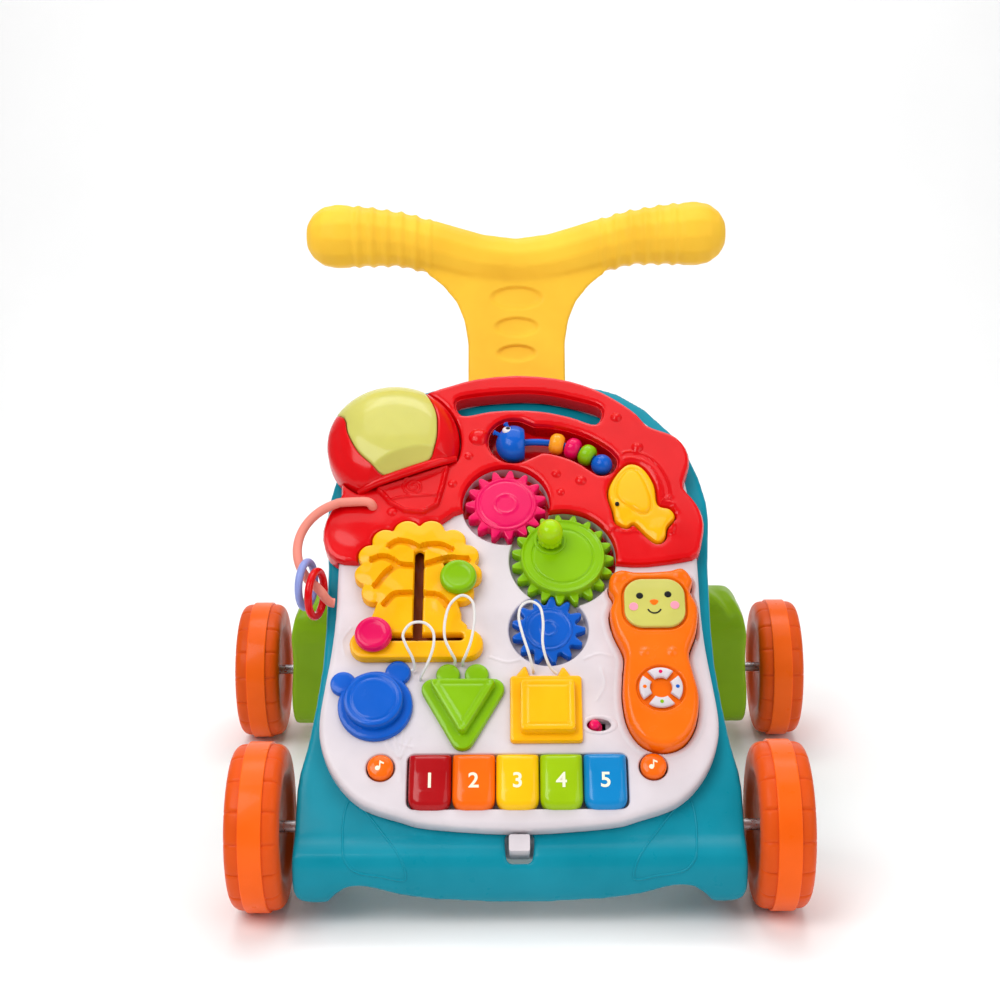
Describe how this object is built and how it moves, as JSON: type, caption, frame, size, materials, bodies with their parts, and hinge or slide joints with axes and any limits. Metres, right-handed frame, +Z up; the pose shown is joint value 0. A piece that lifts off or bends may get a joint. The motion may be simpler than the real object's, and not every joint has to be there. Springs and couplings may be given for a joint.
{
  "type": "baby walker",
  "caption": "Sit-to-stand push walker for a baby: sloped frame on wheels, folding rear legs, T grip, and a lift-off activity panel with gears, keys, phone, beads and shapes.",
  "frame": {"origin": "on the floor under the middle of the bounding box, midway between the axles", "axes": "+X across to the walker's own right as seen from the panel side, +Y back towards the grip, +Z up; the panel faces -Y and up"},
  "size_m": [0.4772, 0.4454, 0.4595],
  "materials": {
    "teal": "satin moulded ABS, teal",
    "red": "satin moulded ABS, red",
    "white": "satin moulded ABS, pale grey white",
    "pale_yellow": "fine matt moulded grip plastic, light yellow",
    "yellow": "gloss moulded ABS, yellow",
    "lime": "gloss moulded ABS, lime green",
    "pink": "gloss moulded ABS, magenta pink",
    "blue": "gloss moulded ABS, blue",
    "orange": "gloss moulded ABS, orange",
    "wheel_orange": "satin blow-moulded wheel with grooves, orange",
    "dark_red": "gloss key, dark red",
    "leaf_green": "satin moulded ABS, leaf green",
    "lens": "translucent lens, pale yellow-green",
    "lavender": "gloss ring, lavender",
    "salmon": "flexible tube, salmon pink",
    "brown": "moulded backing, orange brown",
    "sky": "gloss key, sky blue",
    "cord": "braided polyester cord, white",
    "steel": "turned steel rod",
    "black": "black plastic and paper",
    "board": "green laminate"
  },
  "bodies": {
    "frame": {"front_frame": "teal", "frame_back_cover": "teal", "handle": "pale_yellow", "front_axle": "steel", "hinge_shaft": "steel"},
    "rear_frame": {"rear_leg_left": "leaf_green", "rear_leg_right": "leaf_green", "rear_cross_bar": "leaf_green", "rear_axle": "steel"},
    "wheel_front_left": {"wheel_front_left": "wheel_orange"},
    "wheel_front_right": {"wheel_front_right": "wheel_orange"},
    "wheel_rear_left": {"wheel_rear_left": "wheel_orange"},
    "wheel_rear_right": {"wheel_rear_right": "wheel_orange"},
    "latch": {"panel_latch": "white"},
    "panel": {"panel_shell": "white", "panel_back_cover": "white", "battery_cover": "white", "battery_pack": "black", "speaker": "black", "circuit_board": "board", "red_overlay": "red", "balloon_housing": "red", "lamp_lens": "lens", "tree_plate": "yellow", "tree_backing": "brown", "bead_rail": "blue", "hoop": "salmon", "string_blue": "cord", "string_green": "cord", "string_yellow": "cord"},
    "phone": {"phone_body": "orange", "phone_screen": "lens"},
    "bead_orange": {"bead_orange": "orange"},
    "bead_pink": {"bead_pink": "pink"},
    "bead_green": {"bead_green": "lime"},
    "bird_button": {"bird_button": "yellow"},
    "gear_green": {"gear_green": "lime"},
    "gear_pink": {"gear_pink": "pink"},
    "gear_blue": {"gear_blue": "blue"},
    "crank_knob": {"crank_knob": "lime"},
    "key_red": {"key_red": "dark_red"},
    "key_orange": {"key_orange": "orange"},
    "key_yellow": {"key_yellow": "yellow"},
    "key_green": {"key_green": "lime"},
    "key_blue": {"key_blue": "sky"},
    "music_button_left": {"music_button_left": "orange"},
    "music_button_right": {"music_button_right": "orange"},
    "power_slider": {"power_slider": "pink"},
    "phone_button_up": {"phone_button_up": "white"},
    "phone_button_right": {"phone_button_right": "white"},
    "phone_button_down": {"phone_button_down": "white"},
    "phone_button_left": {"phone_button_left": "white"},
    "shape_circle": {"shape_circle": "blue"},
    "shape_triangle": {"shape_triangle": "lime"},
    "shape_square": {"shape_square": "yellow"},
    "slider_pink": {"slider_pink": "pink"},
    "slider_green": {"slider_green": "lime"},
    "ring_lavender": {"ring_lavender": "lavender"},
    "ring_red": {"ring_red": "red"}
  },
  "joints": [
    {"name": "rear_fold", "type": "hinge", "parent": "frame", "child": "rear_frame", "pos_m": [0, 0.0343, 0.21979], "axis": [-1, 0, 0], "range_deg": [0, 50]},
    {"name": "wheel_front_left_spin", "type": "hinge", "parent": "frame", "child": "wheel_front_left", "pos_m": [0, -0.16475, 0.058], "axis": [1, 0, 0], "continuous": true},
    {"name": "wheel_front_right_spin", "type": "hinge", "parent": "frame", "child": "wheel_front_right", "pos_m": [0, -0.16475, 0.058], "axis": [1, 0, 0], "continuous": true},
    {"name": "wheel_rear_left_spin", "type": "hinge", "parent": "rear_frame", "child": "wheel_rear_left", "pos_m": [0, 0.16475, 0.058], "axis": [1, 0, 0], "continuous": true},
    {"name": "wheel_rear_right_spin", "type": "hinge", "parent": "rear_frame", "child": "wheel_rear_right", "pos_m": [0, 0.16475, 0.058], "axis": [1, 0, 0], "continuous": true},
    {"name": "latch_press", "type": "slide", "parent": "frame", "child": "latch", "axis": [0, -0.7071, -0.7071], "range_m": [0, 0.004], "stiffness_N_per_m": 300, "springref_m": -0.004},
    {"name": "panel_release", "type": "slide", "parent": "frame", "child": "panel", "axis": [0, -0.7071, 0.7071], "range_m": [0, 0.08]},
    {"name": "gear_green_spin", "type": "hinge", "parent": "panel", "child": "gear_green", "pos_m": [0.0325, -0.0555, 0.21625], "axis": [0, -0.7071, 0.7071], "continuous": true},
    {"name": "gear_pink_spin", "type": "hinge", "parent": "panel", "child": "gear_pink", "pos_m": [-0.00845, -0.02334, 0.24841], "axis": [0, -0.7071, 0.7071], "continuous": true},
    {"name": "gear_blue_spin", "type": "hinge", "parent": "panel", "child": "gear_blue", "pos_m": [0.02151, -0.09548, 0.17627], "axis": [0, -0.7071, 0.7071], "continuous": true},
    {"name": "crank_knob_spin", "type": "hinge", "parent": "gear_green", "child": "crank_knob", "pos_m": [0.0235, -0.04631, 0.22544], "axis": [0, -0.7071, 0.7071], "continuous": true},
    {"name": "bead_orange_slide", "type": "hinge", "parent": "panel", "child": "bead_orange", "pos_m": [0.013, -0.03358, 0.23817], "axis": [0, -0.7071, 0.7071], "range_deg": [0, 10]},
    {"name": "bead_pink_slide", "type": "hinge", "parent": "panel", "child": "bead_pink", "pos_m": [0.013, -0.03358, 0.23817], "axis": [0, -0.7071, 0.7071], "range_deg": [0, 10]},
    {"name": "bead_green_slide", "type": "hinge", "parent": "panel", "child": "bead_green", "pos_m": [0.013, -0.03358, 0.23817], "axis": [0, -0.7071, 0.7071], "range_deg": [0, 10]},
    {"name": "key_red_press", "type": "hinge", "parent": "panel", "child": "key_red", "pos_m": [-0.0602, -0.15945, 0.10495], "axis": [1, 0, 0], "range_deg": [0, 4], "stiffness_Nm_per_rad": 0.08, "springref_deg": -6.88},
    {"name": "key_orange_press", "type": "hinge", "parent": "panel", "child": "key_orange", "pos_m": [-0.0306, -0.15945, 0.10495], "axis": [1, 0, 0], "range_deg": [0, 4], "stiffness_Nm_per_rad": 0.08, "springref_deg": -6.88},
    {"name": "key_yellow_press", "type": "hinge", "parent": "panel", "child": "key_yellow", "pos_m": [-0.001, -0.15945, 0.10495], "axis": [1, 0, 0], "range_deg": [0, 4], "stiffness_Nm_per_rad": 0.08, "springref_deg": -6.88},
    {"name": "key_green_press", "type": "hinge", "parent": "panel", "child": "key_green", "pos_m": [0.0286, -0.15945, 0.10495], "axis": [1, 0, 0], "range_deg": [0, 4], "stiffness_Nm_per_rad": 0.08, "springref_deg": -6.88},
    {"name": "key_blue_press", "type": "hinge", "parent": "panel", "child": "key_blue", "pos_m": [0.0582, -0.15945, 0.10495], "axis": [1, 0, 0], "range_deg": [0, 4], "stiffness_Nm_per_rad": 0.08, "springref_deg": -6.88},
    {"name": "music_button_left_press", "type": "slide", "parent": "panel", "child": "music_button_left", "axis": [0, 0.7071, -0.7071], "range_m": [0, 0.0015], "stiffness_N_per_m": 300, "springref_m": -0.001},
    {"name": "music_button_right_press", "type": "slide", "parent": "panel", "child": "music_button_right", "axis": [0, 0.7071, -0.7071], "range_m": [0, 0.0015], "stiffness_N_per_m": 300, "springref_m": -0.001},
    {"name": "bird_button_press", "type": "slide", "parent": "panel", "child": "bird_button", "axis": [0, 0.7071, -0.7071], "range_m": [0, 0.0016], "stiffness_N_per_m": 400, "springref_m": -0.002},
    {"name": "power_switch", "type": "slide", "parent": "panel", "child": "power_slider", "axis": [1, 0, 0], "range_m": [0, 0.007]},
    {"name": "phone_lift", "type": "slide", "parent": "panel", "child": "phone", "axis": [0, -0.7071, 0.7071], "range_m": [0, 0.06]},
    {"name": "phone_button_up_press", "type": "slide", "parent": "phone", "child": "phone_button_up", "axis": [0, 0.7071, -0.7071], "range_m": [0, 0.0008], "stiffness_N_per_m": 300, "springref_m": -0.001},
    {"name": "phone_button_right_press", "type": "slide", "parent": "phone", "child": "phone_button_right", "axis": [0, 0.7071, -0.7071], "range_m": [0, 0.0008], "stiffness_N_per_m": 300, "springref_m": -0.001},
    {"name": "phone_button_down_press", "type": "slide", "parent": "phone", "child": "phone_button_down", "axis": [0, 0.7071, -0.7071], "range_m": [0, 0.0008], "stiffness_N_per_m": 300, "springref_m": -0.001},
    {"name": "phone_button_left_press", "type": "slide", "parent": "phone", "child": "phone_button_left", "axis": [0, 0.7071, -0.7071], "range_m": [0, 0.0008], "stiffness_N_per_m": 300, "springref_m": -0.001},
    {"name": "shape_circle_lift", "type": "slide", "parent": "panel", "child": "shape_circle", "axis": [0, -0.7071, 0.7071], "range_m": [0, 0.02]},
    {"name": "shape_triangle_lift", "type": "slide", "parent": "panel", "child": "shape_triangle", "axis": [0, -0.7071, 0.7071], "range_m": [0, 0.02]},
    {"name": "shape_square_lift", "type": "slide", "parent": "panel", "child": "shape_square", "axis": [0, -0.7071, 0.7071], "range_m": [0, 0.02]},
    {"name": "slider_pink_slide", "type": "slide", "parent": "panel", "child": "slider_pink", "axis": [1, 0, 0], "range_m": [0, 0.059]},
    {"name": "slider_green_slide", "type": "slide", "parent": "panel", "child": "slider_green", "axis": [-0.5039, 0.6108, 0.6108], "range_m": [0, 0.016]},
    {"name": "ring_lavender_swing", "type": "hinge", "parent": "panel", "child": "ring_lavender", "pos_m": [-0.1512, -0.07688, 0.21043], "axis": [1, 0, 0], "range_deg": [-18, 18]},
    {"name": "ring_red_swing", "type": "hinge", "parent": "panel", "child": "ring_red", "pos_m": [-0.1439, -0.08223, 0.20507], "axis": [1, 0, 0], "range_deg": [-18, 18]}
  ],
  "couplings": [
    {"joint": "gear_pink_spin", "follows": "gear_green_spin", "ratio": -1.2667},
    {"joint": "gear_blue_spin", "follows": "gear_green_spin", "ratio": -1.4615},
    {"joint": "bead_pink_slide", "follows": "bead_orange_slide", "ratio": 1},
    {"joint": "bead_green_slide", "follows": "bead_orange_slide", "ratio": 1}
  ]
}
